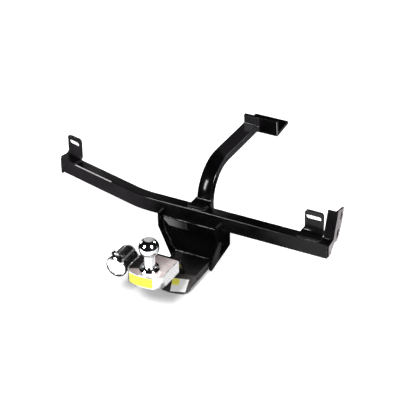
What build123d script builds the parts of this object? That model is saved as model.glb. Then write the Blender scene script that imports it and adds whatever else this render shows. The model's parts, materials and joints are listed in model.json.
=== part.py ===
from build123d import *

import math
import os

os.makedirs("parts", exist_ok=True)

# Trailer hitch. Millimetres. The origin is the centre of the coupling ball.
# X runs right along the crossbar, Y forward to the vehicle, Z up.

weld_gap = 0.2            # air between two pieces that a weld joins
sheet = 6.0               # plate of the carrier and the tongue
bracket_sheet = 5.0       # plate of the end brackets
running_clearance = 0.05  # radial, pin in its knuckles

# Crossbar: a rectangular tube with one bend on the left
bar_depth = 30.0
bar_height = 40.0
bar_wall = 3.0
bar_corner = 3.0
bar_front_y = 200.0
bar_top_z = -3.4
bar_right_x = 364.8
bar_bend_x = -141.0       # where the two front faces would meet
wing_length = 273.7       # along the front face, bend to left end
wing_angle = 14.5
bar_bend_radius = 221.0   # centreline
bar_back_y = bar_front_y + bar_depth
bar_mid_z = bar_top_z - bar_height / 2
bar_bottom_z = bar_top_z - bar_height

wing_cos = math.cos(math.radians(wing_angle))
wing_sin = math.sin(math.radians(wing_angle))
wing_end_x = bar_bend_x - wing_length * wing_cos
wing_end_y = bar_front_y + wing_length * wing_sin
# Local frame of the wing: x to the right along the tube, y to the back
wing = Plane(origin=(wing_end_x, wing_end_y, 0), x_dir=(wing_cos, -wing_sin, 0), z_dir=(0, 0, 1))

bar_mid_y = bar_front_y + bar_depth / 2
mid_shift = bar_depth / 2 * math.tan(math.radians(wing_angle / 2))
mid_corner = (bar_bend_x + mid_shift, bar_mid_y, bar_mid_z)
tangent = bar_bend_radius * math.tan(math.radians(wing_angle / 2))
mid_end = (wing_end_x + wing_sin * bar_depth / 2, wing_end_y + wing_cos * bar_depth / 2, bar_mid_z)
bend_start = (mid_corner[0] + tangent, bar_mid_y, bar_mid_z)

with BuildPart() as crossbar:
    with BuildLine() as bar_path:
        Line((bar_right_x, bar_mid_y, bar_mid_z), bend_start)
        RadiusArc(bend_start, (mid_corner[0] - tangent * wing_cos, bar_mid_y + tangent * wing_sin, bar_mid_z),
                  bar_bend_radius)
        Line((mid_corner[0] - tangent * wing_cos, bar_mid_y + tangent * wing_sin, bar_mid_z), mid_end)
    with BuildSketch(Plane(origin=(bar_right_x, bar_mid_y, bar_mid_z), x_dir=(0, 1, 0), z_dir=(-1, 0, 0))):
        RectangleRounded(bar_depth, bar_height, bar_corner)
        RectangleRounded(bar_depth - 2 * bar_wall, bar_height - 2 * bar_wall, 1.0, mode=Mode.SUBTRACT)
    sweep(path=bar_path.wires()[0])
crossbar.part.label = "crossbar"
export_step(crossbar.part, "parts/crossbar.step")

# Plate that closes the left end of the tube
end_plate_thick = 5.0
end_plate_low_z = -46.0
end_plate_lip = 1.5       # past the tube, front and back
end_plate_top_z = bar_top_z - weld_gap

with BuildPart() as left_end_plate:
    with BuildSketch(wing.offset(end_plate_low_z)):
        with Locations((-weld_gap - end_plate_thick / 2, bar_depth / 2)):
            Rectangle(end_plate_thick, bar_depth + 2 * end_plate_lip)
    extrude(amount=end_plate_top_z - end_plate_low_z)
    fillet(left_end_plate.edges().filter_by(Axis.Z), 1.0)
left_end_plate.part.label = "left_end_plate"
export_step(left_end_plate.part, "parts/left_end_plate.step")

# Left bracket: a foot on the wing and an upright with one slot
left_foot_start = -6.0
left_upright_start = -1.0
left_width = 52.0
left_foot_front = -3.0
left_top_z = 56.5
left_upright_back = 30.0
bracket_bend = 12.0       # outer radius of the foot's bend
left_slot_length = 36.0
slot_width = 12.0
left_slot_x = 20.5
left_slot_z = 39.0
upright_corner = 8.0
flare_z = 12.0            # the uprights reach their full narrowing here
foot_z = bar_top_z        # the feet lie on the tube

left_profile = Plane(origin=wing.from_local_coords((left_foot_start, 0, 0)), x_dir=wing.y_dir, z_dir=wing.x_dir)
left_face = Plane(origin=wing.from_local_coords((0, left_upright_back, 0)), x_dir=wing.x_dir, z_dir=-wing.y_dir)

with BuildPart() as left_bracket:
    with BuildSketch(left_profile) as left_section:
        with BuildLine():
            Polyline((left_foot_front, foot_z), (left_upright_back, foot_z), (left_upright_back, left_top_z),
                     (left_upright_back - bracket_sheet, left_top_z),
                     (left_upright_back - bracket_sheet, foot_z + bracket_sheet),
                     (left_foot_front, foot_z + bracket_sheet), close=True)
        make_face()
        fillet(left_section.vertices().sort_by_distance((left_upright_back, foot_z))[0], bracket_bend)
        fillet(left_section.vertices().sort_by_distance((left_upright_back - bracket_sheet,
                                                         foot_z + bracket_sheet))[0],
               bracket_bend - bracket_sheet)
    extrude(amount=left_width)
    with BuildSketch(left_face):
        with BuildLine():
            Polyline((left_foot_start - 1, foot_z + bracket_sheet), (left_foot_start, foot_z + bracket_sheet),
                     (left_upright_start, flare_z), (left_upright_start, left_top_z + 1),
                     (left_foot_start - 1, left_top_z + 1), close=True)
        make_face()
        with Locations((left_slot_x, left_slot_z)):
            SlotOverall(left_slot_length, slot_width)
    extrude(amount=bracket_bend + 1, mode=Mode.SUBTRACT)
    fillet(left_bracket.faces().sort_by(Axis.Z)[-1].edges().filter_by(lambda e: abs(e.length - bracket_sheet) < 0.01),
           upright_corner)
    foot_edges = left_bracket.edges().filter_by(Axis.Z).filter_by(lambda e: abs(e.length - bracket_sheet) < 0.01)
    fillet(foot_edges.sort_by(Axis.X)[0], upright_corner)
left_bracket.part.label = "left_bracket"
export_step(left_bracket.part, "parts/left_bracket.step")

# Right tab bracket: the same idea, with the slot facing forward
tab_left_x = 286.2
tab_width = 56.0
tab_upright_left_x = tab_left_x + 7.0
tab_upright_right_x = tab_left_x + tab_width - 1.0
tab_foot_front_y = 203.0
tab_front_y = 230.0
tab_top_z = 58.5
tab_slot_length = 40.0
tab_slot_x = tab_left_x + 29.5
tab_slot_z = 40.5

with BuildPart() as right_tab_bracket:
    with BuildSketch(Plane(origin=(tab_left_x, 0, 0), x_dir=(0, 1, 0), z_dir=(1, 0, 0))) as tab_section:
        with BuildLine():
            Polyline((tab_foot_front_y, foot_z), (tab_front_y + bracket_sheet, foot_z),
                     (tab_front_y + bracket_sheet, tab_top_z), (tab_front_y, tab_top_z),
                     (tab_front_y, foot_z + bracket_sheet), (tab_foot_front_y, foot_z + bracket_sheet), close=True)
        make_face()
        fillet(tab_section.vertices().sort_by_distance((tab_front_y + bracket_sheet, foot_z))[0], bracket_bend)
        fillet(tab_section.vertices().sort_by_distance((tab_front_y, foot_z + bracket_sheet))[0],
               bracket_bend - bracket_sheet)
    extrude(amount=tab_width)
    with BuildSketch(Plane(origin=(0, tab_front_y + bracket_sheet, 0), x_dir=(1, 0, 0), z_dir=(0, -1, 0))):
        with BuildLine():
            Polyline((tab_left_x - 1, foot_z + bracket_sheet), (tab_left_x, foot_z + bracket_sheet),
                     (tab_upright_left_x, flare_z), (tab_upright_left_x, tab_top_z + 1),
                     (tab_left_x - 1, tab_top_z + 1), close=True)
        make_face()
        with Locations(((tab_upright_right_x + tab_left_x + tab_width + 1) / 2, (flare_z + tab_top_z + 1) / 2)):
            Rectangle(tab_left_x + tab_width + 1 - tab_upright_right_x, tab_top_z + 1 - flare_z)
        with Locations((tab_slot_x, tab_slot_z)):
            SlotOverall(tab_slot_length, slot_width)
    extrude(amount=bracket_bend + 1, mode=Mode.SUBTRACT)
    fillet(right_tab_bracket.faces().sort_by(Axis.Z)[-1].edges().filter_by(Axis.Y), upright_corner)
right_tab_bracket.part.label = "right_tab_bracket"
export_step(right_tab_bracket.part, "parts/right_tab_bracket.step")

# Right end bracket: a leaning web beside the tab and a flange with two slots
# that laps over the tube's end
flange_x = 365.0
web_left_x = tab_left_x + tab_width + 1.0
web_foot = (227.0, bar_top_z + weld_gap)
web_head = (250.8, 60.0)
flange_outline = [web_foot, web_head, (251.6, 62.2), (286.0, 55.5), (281.0, 36.5), (272.5, 15.5), (255.0, -15.0),
                  (249.0, -18.0), (234.0, -15.5), (222.5, -26.0), (204.5, -38.0), (201.0, -36.5), (201.0, -7.0)]
lean = (web_head[0] - web_foot[0], web_head[1] - web_foot[1])
lean_length = math.hypot(lean[0], lean[1])
back_step = (bracket_sheet * lean[1] / lean_length, -bracket_sheet * lean[0] / lean_length)
flange_slot_length = 20.0
flange_slot_width = 8.0
flange_slot_lean = 25.0
flange_slots = [(269.5, 41.0), (250.5, 3.0)]

with BuildPart() as right_end_bracket:
    with BuildSketch(Plane(origin=(flange_x, 0, 0), x_dir=(0, 1, 0), z_dir=(1, 0, 0))):
        with BuildLine():
            Polyline(flange_outline, close=True)
        make_face()
    extrude(amount=bracket_sheet)
    with BuildSketch(Plane(origin=(web_left_x, 0, 0), x_dir=(0, 1, 0), z_dir=(1, 0, 0))):
        with BuildLine():
            Polyline(web_foot, web_head, (web_head[0] + back_step[0], web_head[1] + back_step[1]),
                     (web_foot[0] + back_step[0], web_foot[1]), close=True)
        make_face()
    extrude(amount=flange_x + bracket_sheet - web_left_x)
    with BuildSketch(Plane(origin=(flange_x, 0, 0), x_dir=(0, 1, 0), z_dir=(1, 0, 0))):
        for slot_y, slot_z in flange_slots:
            with Locations(Location((slot_y, slot_z), 90 - flange_slot_lean)):
                SlotOverall(flange_slot_length, flange_slot_width)
    extrude(amount=bracket_sheet, mode=Mode.SUBTRACT)
right_end_bracket.part.label = "right_end_bracket"
export_step(right_end_bracket.part, "parts/right_end_bracket.step")

# Rear arm: a flat bar that rises behind the crossbar and bends back
arm_width = 39.0
arm_thick = 20.0
arm_x = 14.6
arm_front_y = 245.5
arm_low_z = -80.0
arm_bend_radius = 90.0    # centreline
arm_bend_z = -15.0
arm_end_y = 504.4
arm_mid_y = arm_front_y + arm_thick / 2
arm_top_mid_z = arm_bend_z + arm_bend_radius

with BuildPart() as rear_arm:
    with BuildLine() as arm_path:
        Line((arm_x, arm_mid_y, arm_low_z), (arm_x, arm_mid_y, arm_bend_z))
        ThreePointArc((arm_x, arm_mid_y, arm_bend_z),
                      (arm_x, arm_mid_y + arm_bend_radius * (1 - math.sqrt(0.5)),
                       arm_bend_z + arm_bend_radius * math.sqrt(0.5)),
                      (arm_x, arm_mid_y + arm_bend_radius, arm_top_mid_z))
        Line((arm_x, arm_mid_y + arm_bend_radius, arm_top_mid_z), (arm_x, arm_end_y, arm_top_mid_z))
    with BuildSketch(Plane(origin=(arm_x, arm_mid_y, arm_low_z), x_dir=(1, 0, 0), z_dir=(0, 0, 1))):
        RectangleRounded(arm_width, arm_thick, 3.0)
    sweep(path=arm_path.wires()[0])
rear_arm.part.label = "rear_arm"
export_step(rear_arm.part, "parts/rear_arm.step")

# Foot plate that ties the arm to the tube's top
foot_plate_front_y = 203.6
foot_plate_width = 42.0

with BuildPart() as arm_foot_plate:
    with BuildSketch(Plane.XY.offset(foot_z)):
        with Locations((arm_x, (foot_plate_front_y + arm_front_y - weld_gap) / 2)):
            Rectangle(foot_plate_width, arm_front_y - weld_gap - foot_plate_front_y)
    extrude(amount=sheet)
    fillet(arm_foot_plate.edges().filter_by(Axis.Z).group_by(Axis.Y)[0], 5.0)
    fillet(arm_foot_plate.faces().sort_by(Axis.Z)[-1].edges().filter_by(Axis.X).sort_by(Axis.Y)[0], 0.8)
arm_foot_plate.part.label = "arm_foot_plate"
export_step(arm_foot_plate.part, "parts/arm_foot_plate.step")

# Angle iron across the arm's rear end
angle_left_x = -3.5
angle_right_x = 89.4
angle_front_y = 506.7
angle_low_z = 64.6
angle_upright = 43.5
angle_leg = 64.0
angle_thick = 8.0
angle_tilt = 6.0
angle_hole_radius = 6.5
angle_hole_x = 62.0
angle_hole_back = 36.0

angle_frame = Plane(origin=(angle_left_x, angle_front_y, angle_low_z), x_dir=(0, math.cos(math.radians(angle_tilt)),
                    math.sin(math.radians(angle_tilt))), z_dir=(1, 0, 0))

with BuildPart() as rear_angle:
    with BuildSketch(angle_frame) as angle_section:
        with BuildLine():
            Polyline((0, 0), (angle_leg, 0), (angle_leg, angle_thick), (angle_thick, angle_thick),
                     (angle_thick, angle_upright), (0, angle_upright), close=True)
        make_face()
        fillet(angle_section.vertices().sort_by_distance((angle_thick, angle_thick))[0], 6.0)
    extrude(amount=angle_right_x - angle_left_x)
    with BuildSketch(Plane(origin=angle_frame.from_local_coords((0, angle_thick, 0)), x_dir=(1, 0, 0),
                           z_dir=angle_frame.y_dir)):
        with Locations((angle_hole_x - angle_left_x, angle_hole_back)):
            Circle(angle_hole_radius)
    extrude(amount=-angle_thick, mode=Mode.SUBTRACT)
rear_angle.part.label = "rear_angle"
export_step(rear_angle.part, "parts/rear_angle.step")

# Carrier below the bar. Each side plate is an upright panel with a notch for
# the bar, and a lower panel folded inward along a slanting line.
side_x = 82.6
fold_front = (side_x, 187.7, -68.5)
fold_back = (side_x, 254.7, -115.5)
fold_length = math.hypot(fold_back[1] - fold_front[1], fold_back[2] - fold_front[2])
lug_top_z = -30.0
side_back_y = 257.0
side_back_top_z = -26.0
upper_panel = [(187.7, -68.5), (187.7, lug_top_z), (bar_front_y - weld_gap, lug_top_z),
               (bar_front_y - weld_gap, bar_bottom_z - weld_gap), (bar_back_y + weld_gap, bar_bottom_z - weld_gap),
               (bar_back_y + weld_gap, side_back_top_z), (side_back_y, side_back_top_z), (254.7, -115.5)]
# measured along the fold and down the lower panel
lower_panel = [(0.0, 0.0), (fold_length, 0.0), (84.0, -84.0), (73.5, -81.0)]
panel_normal = (0.9292, -0.2122, -0.3026)

with BuildPart() as carrier_right_plate:
    with BuildSketch(Plane(origin=(side_x - sheet, 0, 0), x_dir=(0, 1, 0), z_dir=(1, 0, 0))):
        with BuildLine():
            Polyline(upper_panel, close=True)
        make_face()
    extrude(amount=sheet)
    with BuildSketch(Plane(origin=fold_front, x_dir=Vector(*fold_back) - Vector(*fold_front),
                           z_dir=panel_normal)) as lower_sketch:
        with BuildLine():
            Polyline(lower_panel, close=True)
        make_face()
        fillet(lower_sketch.vertices().sort_by(Axis.Y)[:2], 3.0)
    extrude(amount=-sheet)
carrier_right_plate.part.label = "carrier_right_plate"
export_step(carrier_right_plate.part, "parts/carrier_right_plate.step")

with BuildPart() as carrier_left_plate:
    add(mirror(carrier_right_plate.part, about=Plane.YZ, mode=Mode.PRIVATE))
carrier_left_plate.part.label = "carrier_left_plate"
export_step(carrier_left_plate.part, "parts/carrier_left_plate.step")

# Web between the side plates, leaning back towards its foot on the tongue
tongue_top_z = -147.6
web_lean = 9.0
web_half_top = 75.5
web_half_low = 55.0
web_knee = 37.5           # down the web, where the side plates fold inward
web_height = 107.0
web_frame = Plane(origin=(0, 199.5, -42.5), x_dir=(1, 0, 0),
                  z_dir=(0, -math.cos(math.radians(web_lean)), -math.sin(math.radians(web_lean))))

with BuildPart() as carrier_web:
    with BuildSketch(web_frame):
        with BuildLine():
            Polyline((-web_half_top, 0), (web_half_top, 0), (web_half_top, -web_knee), (web_half_low, -web_height),
                     (-web_half_low, -web_height), (-web_half_top, -web_knee), close=True)
        make_face()
    extrude(amount=-sheet)
    split(bisect_by=Plane.XY.offset(bar_bottom_z - weld_gap), keep=Keep.BOTTOM)
    split(bisect_by=Plane.XY.offset(tongue_top_z + weld_gap), keep=Keep.TOP)
carrier_web.part.label = "carrier_web"
export_step(carrier_web.part, "parts/carrier_web.step")

# Plate behind the bar that the arm is welded to: hidden in the photograph
rear_plate_top_z = -28.0
rear_plate_low_z = -85.0

with BuildPart() as carrier_rear_plate:
    with BuildSketch(Plane.XZ.offset(-(arm_front_y - weld_gap - sheet))):
        with Locations((0, (rear_plate_top_z + rear_plate_low_z) / 2)):
            Rectangle(2 * (side_x - sheet - weld_gap), rear_plate_top_z - rear_plate_low_z)
    extrude(amount=-sheet)
carrier_rear_plate.part.label = "carrier_rear_plate"
export_step(carrier_rear_plate.part, "parts/carrier_rear_plate.step")

# Tongue: a folded plate with side flanges and a rounded nose
tongue_half = 48.5
tongue_back_y = 221.0
tongue_fold_y = 139.0
nose_slope = 0.554
flange_low_z = -169.5
flange_back_y = 203.0
nose_y = 80.0
nose_outline = [(tongue_half, tongue_back_y), (tongue_half, 106.0), (44.0, 98.0), (36.0, 92.6), (21.5, 88.4),
                (6.5, 85.5), (-6.5, 85.5), (-21.5, 88.4), (-36.0, 92.6), (-44.0, 98.0), (-tongue_half, 106.0),
                (-tongue_half, tongue_back_y)]
nose_drop = sheet * math.hypot(1, nose_slope)


def nose_z(y):
    return tongue_top_z - (tongue_fold_y - y) * nose_slope


with BuildPart() as tongue:
    with BuildSketch(Plane(origin=(-tongue_half, 0, 0), x_dir=(0, 1, 0), z_dir=(1, 0, 0))):
        with BuildLine():
            Polyline((tongue_back_y, tongue_top_z), (tongue_fold_y, tongue_top_z), (60.0, nose_z(60.0)),
                     (60.0, nose_z(60.0) - nose_drop), (tongue_fold_y - 1.6, tongue_top_z - sheet),
                     (tongue_back_y, tongue_top_z - sheet), close=True)
        make_face()
    extrude(amount=2 * tongue_half)
    with BuildSketch(Plane(origin=(-tongue_half, 0, 0), x_dir=(0, 1, 0), z_dir=(1, 0, 0))):
        with BuildLine():
            Polyline((flange_back_y, tongue_top_z), (tongue_fold_y, tongue_top_z), (100.0, nose_z(100.0)),
                     (112.0, flange_low_z), (flange_back_y, flange_low_z), close=True)
        make_face()
    extrude(amount=sheet)
    mirror(about=Plane.YZ)
    with BuildSketch(Plane.XY.offset(flange_low_z - 10)):
        with BuildLine():
            Polyline(nose_outline, close=True)
        make_face()
    extrude(amount=tongue_top_z - flange_low_z + 20, mode=Mode.INTERSECT)
tongue.part.label = "tongue"
export_step(tongue.part, "parts/tongue.step")

# Ball plate: a flat platform under the ball and a neck that falls back to the
# tongue. The band and the cover go round and over the platform.
platform_x = -7.75
platform_half = 48.75
platform_top_z = -66.0
platform_back_y = 68.0
corner_radius = 26.5
corner_y = 0.9
front_radius = 105.0
front_y = -28.8
corner_across = platform_half - corner_radius
front_centre_y = front_y + front_radius
meet = math.hypot(corner_across, front_centre_y - corner_y)
meet_x = corner_across / meet
meet_y = (corner_y - front_centre_y) / meet
band_thick = 2.5
band_height = 32.0
cover_thick = 1.0
cover_drop = 0.3          # the cover lies this far below the band's edge
plate_thick = 8.0
neck_end_half = 24.7
neck_end_y = 140.4
neck_start_y = 77.4
shank_radius = 11.0
shank_hole_radius = 11.3
cover_top_z = platform_top_z - cover_drop
plate_top_z = cover_top_z - cover_thick - weld_gap
plate_low_z = plate_top_z - plate_thick


def outline_point(inset, side, place):
    """A point of the platform's outline: 0 where the front arc meets the
    corner, 1 in the corner's middle, 2 where the corner meets the side."""
    angle = math.atan2(meet_y, meet_x) * (1 - place / 2)
    radius = corner_radius - inset
    return (platform_x + side * (corner_across + radius * math.cos(angle)), corner_y + radius * math.sin(angle))


def platform_edge(inset, back_y):
    """Front and sides of the platform, drawn from right to left."""
    Line((platform_x + platform_half - inset, back_y), outline_point(inset, 1, 2))
    ThreePointArc(outline_point(inset, 1, 2), outline_point(inset, 1, 1), outline_point(inset, 1, 0))
    ThreePointArc(outline_point(inset, 1, 0), (platform_x, front_y + inset), outline_point(inset, -1, 0))
    ThreePointArc(outline_point(inset, -1, 0), outline_point(inset, -1, 1), outline_point(inset, -1, 2))
    Line(outline_point(inset, -1, 2), (platform_x - platform_half + inset, back_y))


plate_inset = band_thick + weld_gap

with BuildPart() as ball_plate:
    with BuildSketch(Plane(origin=(-80, 0, 0), x_dir=(0, 1, 0), z_dir=(1, 0, 0))) as plate_section:
        with BuildLine():
            Polyline((-40, plate_top_z), (neck_start_y, plate_top_z), (neck_end_y, tongue_top_z + weld_gap),
                     (139.0, tongue_top_z + weld_gap), (132.8, -150.8), (73.6, plate_low_z), (-40, plate_low_z),
                     close=True)
        make_face()
        fillet(plate_section.vertices().sort_by_distance((neck_start_y, plate_top_z))[0], 9.0)
        fillet(plate_section.vertices().sort_by_distance((73.6, plate_low_z))[0], 2.0)
    extrude(amount=150)
    with BuildSketch(Plane.XY.offset(-160)):
        with BuildLine():
            platform_edge(plate_inset, platform_back_y)
            Polyline((platform_x - platform_half + plate_inset, platform_back_y),
                     (platform_x - platform_half + plate_inset, neck_start_y - 6),
                     (platform_x - platform_half, neck_start_y - 6), (platform_x - platform_half, neck_start_y),
                     (platform_x - neck_end_half, neck_end_y), (platform_x + neck_end_half, neck_end_y),
                     (platform_x + platform_half, neck_start_y), (platform_x + platform_half, neck_start_y - 6),
                     (platform_x + platform_half - plate_inset, neck_start_y - 6),
                     (platform_x + platform_half - plate_inset, platform_back_y))
        make_face()
    extrude(amount=100, mode=Mode.INTERSECT)
    with Locations((0, 0, plate_top_z)):
        Cylinder(shank_hole_radius, 40, mode=Mode.SUBTRACT)
ball_plate.part.label = "ball_plate"
export_step(ball_plate.part, "parts/ball_plate.step")

with BuildPart() as platform_cover:
    with BuildSketch(Plane.XY.offset(cover_top_z - cover_thick)):
        with BuildLine():
            platform_edge(plate_inset, platform_back_y)
            Line((platform_x - platform_half + plate_inset, platform_back_y),
                 (platform_x + platform_half - plate_inset, platform_back_y))
        make_face()
        Circle(shank_hole_radius, mode=Mode.SUBTRACT)
    extrude(amount=cover_thick)
platform_cover.part.label = "platform_cover"
export_step(platform_cover.part, "parts/platform_cover.step")

with BuildPart() as platform_band:
    with BuildSketch(Plane.XY.offset(platform_top_z - band_height)):
        with BuildLine():
            platform_edge(0.0, platform_back_y)
            Line((platform_x - platform_half, platform_back_y), (platform_x - platform_half + band_thick,
                                                                 platform_back_y))
            platform_edge(band_thick, platform_back_y)
            Line((platform_x + platform_half - band_thick, platform_back_y), (platform_x + platform_half,
                                                                              platform_back_y))
        make_face()
    extrude(amount=band_height)
platform_band.part.label = "platform_band"
export_step(platform_band.part, "parts/platform_band.step")

# Ball, its lock washer and its nut
ball_radius = 25.0
flat_radius = 11.5
ball_neck_radius = 14.0
collar_radius = 25.2
collar_low_z = cover_top_z + weld_gap
collar_top_z = -53.0
shank_end_z = -97.0
washer_thick = 5.0
nut_thick = 14.0
nut_across = 32.0
flat_z = math.sqrt(ball_radius ** 2 - flat_radius ** 2)
neck_z = -math.sqrt(ball_radius ** 2 - ball_neck_radius ** 2)

with BuildPart() as hitch_ball:
    with BuildSketch(Plane.XZ):
        with BuildLine():
            Polyline((0, flat_z), (0, shank_end_z), (shank_radius, shank_end_z), (shank_radius, collar_low_z),
                     (collar_radius, collar_low_z), (collar_radius, -58.0), (22.5, collar_top_z), (17.0, -52.0))
            ThreePointArc((17.0, -52.0), (14.9, -50.6), (ball_neck_radius, -47.5))
            Line((ball_neck_radius, -47.5), (ball_neck_radius, neck_z))
            ThreePointArc((ball_neck_radius, neck_z), (ball_radius, 0), (flat_radius, flat_z))
            Line((flat_radius, flat_z), (0, flat_z))
        make_face()
    revolve(axis=Axis.Z)
hitch_ball.part.label = "hitch_ball"
export_step(hitch_ball.part, "parts/hitch_ball.step")

washer_low_z = plate_low_z - washer_thick
with BuildPart() as ball_lock_washer:
    with BuildSketch(Plane.XY.offset(washer_low_z)):
        Circle(18.0)
        Circle(shank_hole_radius, mode=Mode.SUBTRACT)
    extrude(amount=washer_thick - weld_gap / 2)
ball_lock_washer.part.label = "ball_lock_washer"
export_step(ball_lock_washer.part, "parts/ball_lock_washer.step")

with BuildPart() as ball_nut:
    with BuildSketch(Plane.XY.offset(washer_low_z - weld_gap / 2 - nut_thick)):
        RegularPolygon(nut_across / 2, 6, major_radius=False)
        Circle(shank_radius + 0.1, mode=Mode.SUBTRACT)
    extrude(amount=nut_thick)
ball_nut.part.label = "ball_nut"
export_step(ball_nut.part, "parts/ball_nut.step")

# Electrical socket left of the platform, its axis along Y
socket_x = -85.0
socket_z = -72.3
socket_radius = 25.0
mouth_y = -4.0
recess_radius = 18.0
recess_end_y = 30.0
body_end_y = 49.8
screw_ring = 21.5
screw_radius = 2.0
screw_hole_radius = 2.2
gland_neck_radius = 7.9
gland_hole_radius = 8.1
wire_radius = 5.0
hinge_y = -6.0
hinge_z = -40.6
knuckle_radius = 4.0
pin_radius = 1.5
ear_inside = 10.0
ear_outside = 13.5
socket_back = Plane(origin=(socket_x, 0, socket_z), x_dir=(1, 0, 0), z_dir=(0, -1, 0))


def round_y(radius, start_y, end_y, mode=Mode.ADD):
    """A cylinder on the socket's axis from one Y to another."""
    with Locations(Location((socket_x, (start_y + end_y) / 2, socket_z), (90, 0, 0))):
        Cylinder(radius, abs(end_y - start_y), mode=mode)


def screw_places():
    """Where the socket's screws stand, seen along its axis."""
    return [(socket_x + screw_ring * math.cos(math.radians(angle)),
             socket_z + screw_ring * math.sin(math.radians(angle))) for angle in (90, 210, 330)]


with BuildPart() as socket_body:
    round_y(socket_radius, mouth_y, body_end_y)
    chamfer(socket_body.edges().filter_by(GeomType.CIRCLE).sort_by(Axis.Y)[-1], 2.0)
    for side in (-1, 1):
        ear_x = socket_x + side * (ear_inside + ear_outside) / 2
        with Locations(Location((ear_x, hinge_y, hinge_z), (0, 90, 0))):
            Cylinder(knuckle_radius, ear_outside - ear_inside)
        with Locations((ear_x, 0, hinge_z - 2)):
            Box(ear_outside - ear_inside, 12, 6)
        with Locations((ear_x, 1.1, hinge_z - 6.5)):
            Box(ear_outside - ear_inside, 9.8, 13)
    round_y(recess_radius, mouth_y - 1, recess_end_y, Mode.SUBTRACT)
    round_y(wire_radius, recess_end_y - 1, body_end_y + 1, Mode.SUBTRACT)
    round_y(gland_hole_radius, 38.0, body_end_y + 1, Mode.SUBTRACT)
    with Locations(Location((socket_x, hinge_y, hinge_z), (0, 90, 0))):
        Cylinder(pin_radius + running_clearance, 40, mode=Mode.SUBTRACT)
    for screw_x, screw_z in screw_places():
        with Locations(Location((screw_x, 44.5, screw_z), (90, 0, 0))):
            Cylinder(screw_radius + 0.1, 13, mode=Mode.SUBTRACT)
socket_body.part.label = "socket_body"
export_step(socket_body.part, "parts/socket_body.step")

bracket_front_y = 50.0
bracket_thick = 3.0
bracket_back_y = bracket_front_y + bracket_thick
bracket_right_x = platform_x - platform_half - weld_gap

with BuildPart() as socket_bracket:
    round_y(socket_radius, bracket_front_y, bracket_back_y)
    with Locations(((socket_x + bracket_right_x) / 2, bracket_front_y + bracket_thick / 2, -82.0)):
        Box(bracket_right_x - socket_x, bracket_thick, 24)
    with Locations((bracket_right_x - bracket_thick / 2, (bracket_front_y + platform_back_y) / 2, -82.0)):
        Box(bracket_thick, platform_back_y - bracket_front_y, 24)
    round_y(gland_hole_radius, bracket_front_y - 1, bracket_back_y + 1, Mode.SUBTRACT)
    for screw_x, screw_z in screw_places():
        with Locations(Location((screw_x, bracket_front_y, screw_z), (90, 0, 0))):
            Cylinder(screw_hole_radius, 12, mode=Mode.SUBTRACT)
socket_bracket.part.label = "socket_bracket"
export_step(socket_bracket.part, "parts/socket_bracket.step")

with BuildPart() as socket_screws:
    for screw_x, screw_z in screw_places():
        with Locations(Location((screw_x, 46.6, screw_z), (90, 0, 0))):
            Cylinder(screw_radius, 13.2)
        with Locations(Location((screw_x, bracket_back_y + 1.6, screw_z), (90, 0, 0))):
            Cylinder(3.8, 2.8)
socket_screws.part.label = "socket_screws"
export_step(socket_screws.part, "parts/socket_screws.step")

# Contacts: one in the middle and six round it
contact_ring = 11.0
contact_radius = 2.5
insert_front_y = 8.0
contact_places = [(0.0, 0.0)] + [(contact_ring * math.cos(math.radians(60 * n)),
                                  contact_ring * math.sin(math.radians(60 * n))) for n in range(6)]

with BuildPart() as contact_insert:
    round_y(recess_radius - 0.3, insert_front_y, recess_end_y - weld_gap)
    for across, rise in contact_places:
        with Locations(Location((socket_x + across, 19, socket_z + rise), (90, 0, 0))):
            Cylinder(contact_radius + 0.1, 40, mode=Mode.SUBTRACT)
contact_insert.part.label = "contact_insert"
export_step(contact_insert.part, "parts/contact_insert.step")

with BuildPart() as contact_pins:
    for across, rise in contact_places:
        with Locations(Location((socket_x + across, 19, socket_z + rise), (90, 0, 0))):
            Cylinder(contact_radius, 20)
        with Locations(Location((socket_x + across, 11, socket_z + rise), (90, 0, 0))):
            Cylinder(1.5, 10, mode=Mode.SUBTRACT)
contact_pins.part.label = "contact_pins"
export_step(contact_pins.part, "parts/contact_pins.step")

with BuildPart() as cable_gland:
    round_y(gland_neck_radius, 40.0, 54.0)
    round_y(12.0, bracket_back_y + weld_gap, 59.0)
    round_y(8.5, 59.0, 68.0)
    chamfer(cable_gland.edges().filter_by(GeomType.CIRCLE).sort_by(Axis.Y)[-1], 2.0)
    round_y(4.0, 39.0, 69.0, Mode.SUBTRACT)
cable_gland.part.label = "cable_gland"
export_step(cable_gland.part, "parts/cable_gland.step")

# Spring lid: hinged above the mouth, so that it swings forward and up
lid_radius = 27.6
lid_front_y = -14.0
lid_back_y = -6.2
knuckle_inside = 6.5
knuckle_outside = 9.7

with BuildPart() as socket_lid:
    round_y(lid_radius, lid_front_y, lid_back_y)
    fillet(socket_lid.edges().filter_by(GeomType.CIRCLE).sort_by(Axis.Y)[0], 3.5)
    for side in (-1, 1):
        knuckle_x = socket_x + side * (knuckle_inside + knuckle_outside) / 2
        with Locations(Location((knuckle_x, hinge_y, hinge_z), (0, 90, 0))):
            Cylinder(knuckle_radius, knuckle_outside - knuckle_inside)
        with Locations((knuckle_x, -9.1, hinge_z - 4)):
            Box(knuckle_outside - knuckle_inside, 5.8, 8)
    with Locations(Location((socket_x, hinge_y, hinge_z), (0, 90, 0))):
        Cylinder(pin_radius + running_clearance, 40, mode=Mode.SUBTRACT)
socket_lid.part.label = "socket_lid"
export_step(socket_lid.part, "parts/socket_lid.step")

with BuildPart() as lid_gasket:
    round_y(24.0, lid_back_y + weld_gap, mouth_y - weld_gap)
    round_y(19.5, lid_back_y - 1, mouth_y + 1, Mode.SUBTRACT)
lid_gasket.part.label = "lid_gasket"
export_step(lid_gasket.part, "parts/lid_gasket.step")

with BuildPart() as lid_pin:
    with Locations(Location((socket_x, hinge_y, hinge_z), (0, 90, 0))):
        Cylinder(pin_radius, 2 * ear_outside + 1)
lid_pin.part.label = "lid_pin"
export_step(lid_pin.part, "parts/lid_pin.step")

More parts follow.
